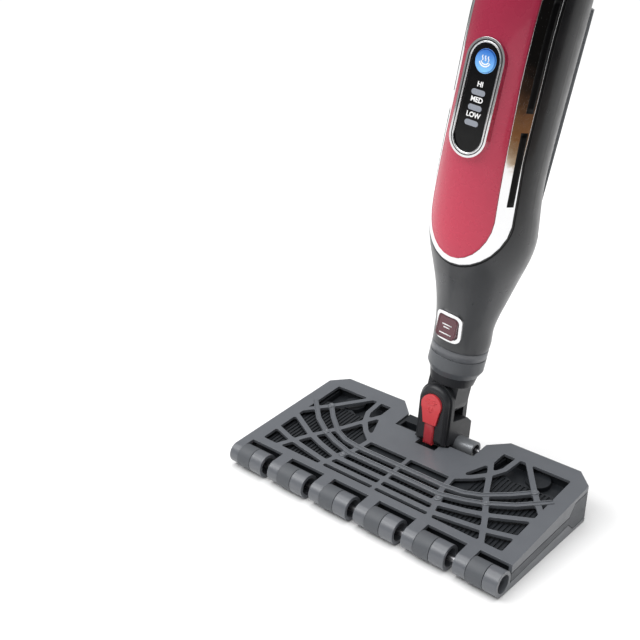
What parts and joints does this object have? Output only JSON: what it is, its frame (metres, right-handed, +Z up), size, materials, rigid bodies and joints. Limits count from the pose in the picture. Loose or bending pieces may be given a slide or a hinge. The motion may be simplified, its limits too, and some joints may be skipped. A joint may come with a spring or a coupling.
{
  "type": "steam mop",
  "caption": "Upright steam mop: flat openwork floor head, two-axis neck, body with water tank, front controls and release, long handle with cord hooks.",
  "frame": {"origin": "on the floor under the middle of the floor head", "axes": "+Z up, -Y to the front (hinge knuckles and controls), +X across the head, the side the body leans to"},
  "size_m": [0.3053, 0.2569, 1.1694],
  "materials": {
    "frame_grey": "satin, fine moulded texture",
    "core_dark": "matte moulded plastic",
    "neck_charcoal": "satin moulded plastic",
    "collar_grey": "satin moulded plastic",
    "barrel_silver": "satin silver paint",
    "lever_red": "satin red plastic",
    "release_maroon": "satin maroon plastic",
    "body_grey": "glossy painted grey",
    "panel_raspberry": "glossy metallic raspberry",
    "trim_chrome": "mirror chrome plating",
    "control_black": "glossy black plastic",
    "light_grey": "translucent light windows",
    "button_blue": "backlit blue plastic",
    "tank_clear": "translucent smoke plastic",
    "cap_black": "matte black plastic",
    "grip_black": "soft-touch rubber",
    "tube_metal": "brushed and anodised",
    "steel": "plain steel",
    "brass": "plain brass",
    "heater_cast": "as cast",
    "hose_silicone": "translucent silicone",
    "board_green": "circuit board laminate"
  },
  "bodies": {
    "lower_frame": {"lower_frame": "frame_grey", "front_hinge_pin": "steel"},
    "core": {"upper_frame": "frame_grey", "core_lower": "core_dark", "core_upper": "core_dark", "steam_channel": "hose_silicone", "pivot_trunnions": "steel"},
    "neck": {"neck_fork": "neck_charcoal", "neck_cover": "neck_charcoal", "barrel": "barrel_silver", "roll_pin": "steel", "roll_pin_clip": "steel", "neck_hose": "hose_silicone", "neck_screws": "steel", "lever_pin": "steel", "lever_spring": "steel"},
    "lever": {"red_lever": "lever_red"},
    "swivel": {"tongue_cone": "neck_charcoal", "collar": "collar_grey", "steam_nipple": "brass"},
    "body": {"shell_base": "body_grey", "shell_front": "body_grey", "shell_crown": "body_grey", "chrome_trim": "trim_chrome", "front_panel": "panel_raspberry", "control_bezel": "trim_chrome", "control_panel": "control_black", "mode_lights": "light_grey", "circuit_board": "board_green", "release_bezel": "trim_chrome", "release_spring": "steel", "spine": "core_dark", "heater_block": "heater_cast", "heater_tube": "steel", "thermostats": "brass", "heater_brackets": "steel", "pump": "cap_black", "pump_mounts": "cap_black", "pump_hose": "hose_silicone", "steam_pipe": "hose_silicone", "water_hose": "hose_silicone", "tank_socket": "cap_black", "handle_tube": "tube_metal", "tube_ferrule": "neck_charcoal", "grip_front": "grip_black", "grip_rear": "grip_black", "lower_cord_hook": "neck_charcoal", "cord_gland": "cap_black"},
    "release_button": {"release_button": "release_maroon"},
    "steam_button": {"steam_button": "button_blue"},
    "tank": {"water_tank": "tank_clear", "tank_lid": "tank_clear", "tank_valve": "cap_black"},
    "tank_cap": {"tank_cap": "cap_black", "cap_seal": "hose_silicone"},
    "upper_hook": {"upper_cord_hook": "neck_charcoal"}
  },
  "joints": [
    {"name": "head_spread", "type": "hinge", "parent": "lower_frame", "child": "core", "pos_m": [0, -0.0805, 0.0114], "axis": [1, 0, 0], "range_deg": [0, 5]},
    {"name": "neck_pitch", "type": "hinge", "parent": "core", "child": "neck", "pos_m": [0, 0.0465, 0.03], "axis": [-1, 0, 0], "range_deg": [0, 75]},
    {"name": "lever_press", "type": "hinge", "parent": "neck", "child": "lever", "pos_m": [0, 0.02591, 0.04366], "axis": [-1, 0, 0], "range_deg": [0, 2.5], "stiffness_Nm_per_rad": 3, "springref_deg": -5.73, "deforming": ["lever_spring"]},
    {"name": "body_roll", "type": "hinge", "parent": "neck", "child": "swivel", "pos_m": [0, 0.04986, 0.07267], "axis": [0, 0.9969, -0.0785], "range_deg": [-60, 45]},
    {"name": "body_release", "type": "slide", "parent": "swivel", "child": "body", "axis": [0.1305, 0.0778, 0.9884], "range_m": [0, 0.03]},
    {"name": "release_press", "type": "slide", "parent": "body", "child": "release_button", "axis": [0, 0.9969, -0.0785], "range_m": [0, 0.002], "stiffness_N_per_m": 1200, "springref_m": -0.002, "deforming": ["release_spring"]},
    {"name": "steam_button_press", "type": "slide", "parent": "body", "child": "steam_button", "axis": [0, 0.9969, -0.0785], "range_m": [0, 0.001], "stiffness_N_per_m": 1500, "springref_m": -0.001},
    {"name": "tank_remove", "type": "slide", "parent": "body", "child": "tank", "axis": [0, 0.9969, -0.0785], "range_m": [0, 0.06]},
    {"name": "cap_hinge", "type": "hinge", "parent": "tank", "child": "tank_cap", "pos_m": [0.04752, 0.10958, 0.43002], "axis": [-0.9914, 0.0102, 0.1301], "range_deg": [0, 100]},
    {"name": "hook_turn", "type": "hinge", "parent": "body", "child": "upper_hook", "pos_m": [0.11865, 0.1086, 0.97206], "axis": [0.1305, 0.0778, 0.9884], "range_deg": [0, 180]}
  ]
}
